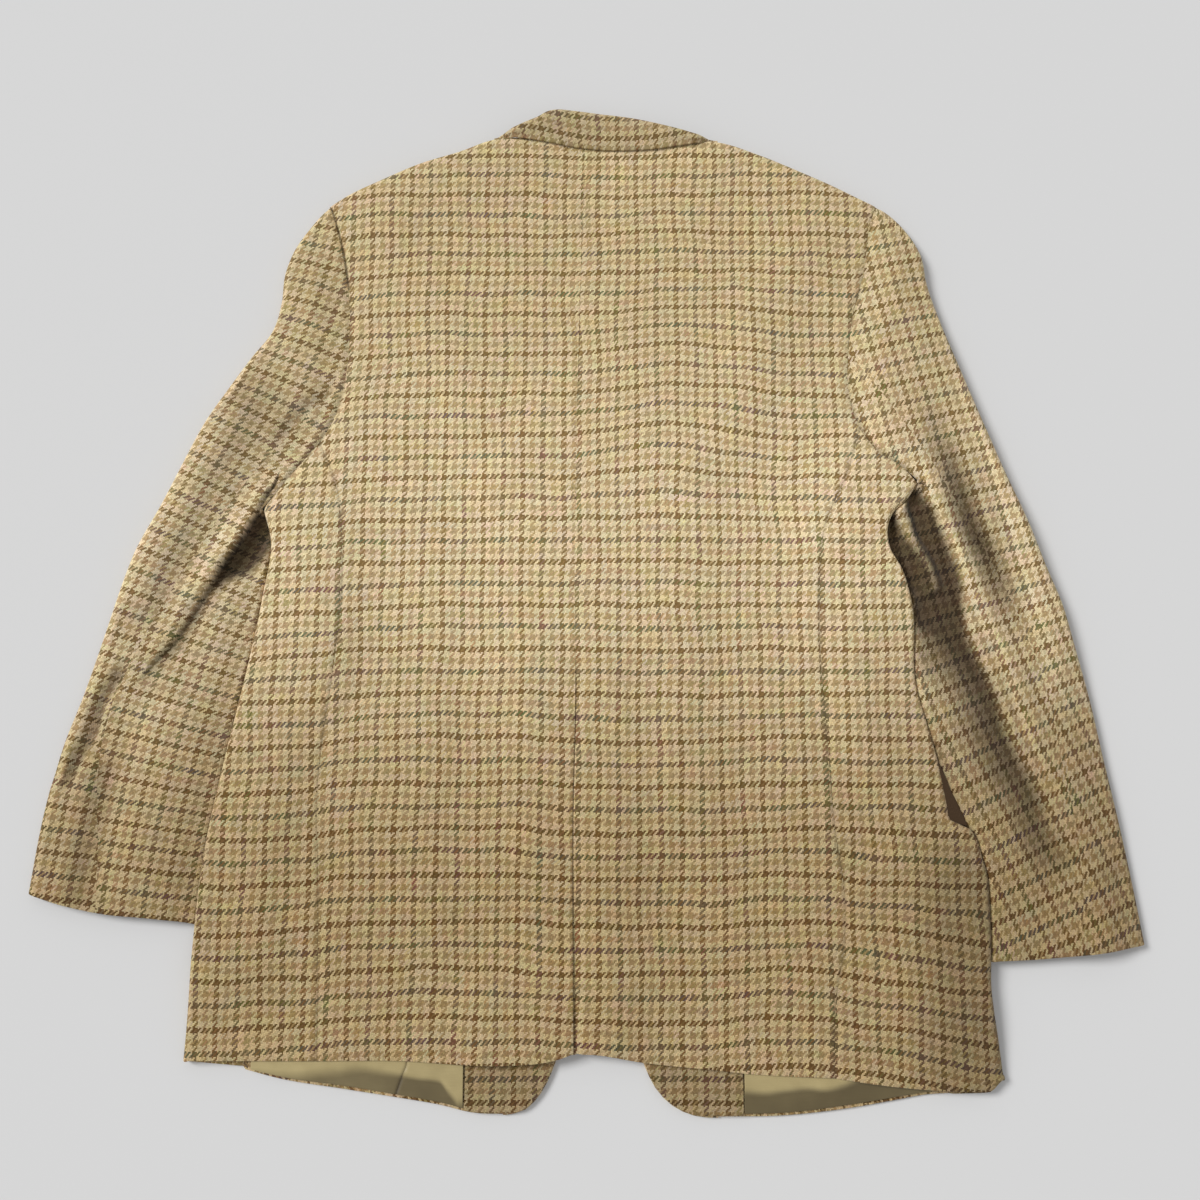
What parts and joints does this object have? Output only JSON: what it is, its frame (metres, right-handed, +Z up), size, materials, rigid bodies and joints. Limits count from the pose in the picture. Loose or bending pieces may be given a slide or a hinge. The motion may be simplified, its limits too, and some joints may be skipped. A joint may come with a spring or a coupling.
{
  "type": "sports jacket",
  "caption": "Single-breasted tweed sports jacket in a gun club check, laid flat face down: collar, centre-seamed back with a single vent, two-piece sleeves, rounded front corners.",
  "frame": {"origin": "on the floor, below the middle of the laid jacket", "axes": "+Z up, away from the floor and towards the jacket's back; +Y towards the collar; -X towards the jacket's own left sleeve"},
  "size_m": [0.907, 0.8621, 0.02],
  "materials": {
    "tweed": "woollen tweed, cream and tan houndstooth with brown and blue-grey lines",
    "satin_lining": "khaki-gold satin",
    "pocketing": "dark brown pocket cloth",
    "horn": "dark horn-like"
  },
  "bodies": {
    "root": {"back_left": "tweed", "back_right": "tweed", "side_left": "tweed", "side_right": "tweed", "front_left": "tweed", "front_right": "tweed", "lapel_left": "tweed", "lapel_right": "tweed", "collar": "tweed", "collar_leaf_left": "tweed", "collar_leaf_right": "tweed", "sleeve_top_left": "tweed", "sleeve_top_right": "tweed", "sleeve_under_left": "tweed", "sleeve_under_right": "tweed", "facing_left": "tweed", "facing_right": "tweed", "flap_left": "tweed", "flap_right": "tweed", "lining_left": "satin_lining", "lining_right": "satin_lining", "pocket_bag": "pocketing", "button_top": "horn", "button_middle": "horn", "button_bottom": "horn"}
  },
  "joints": []
}
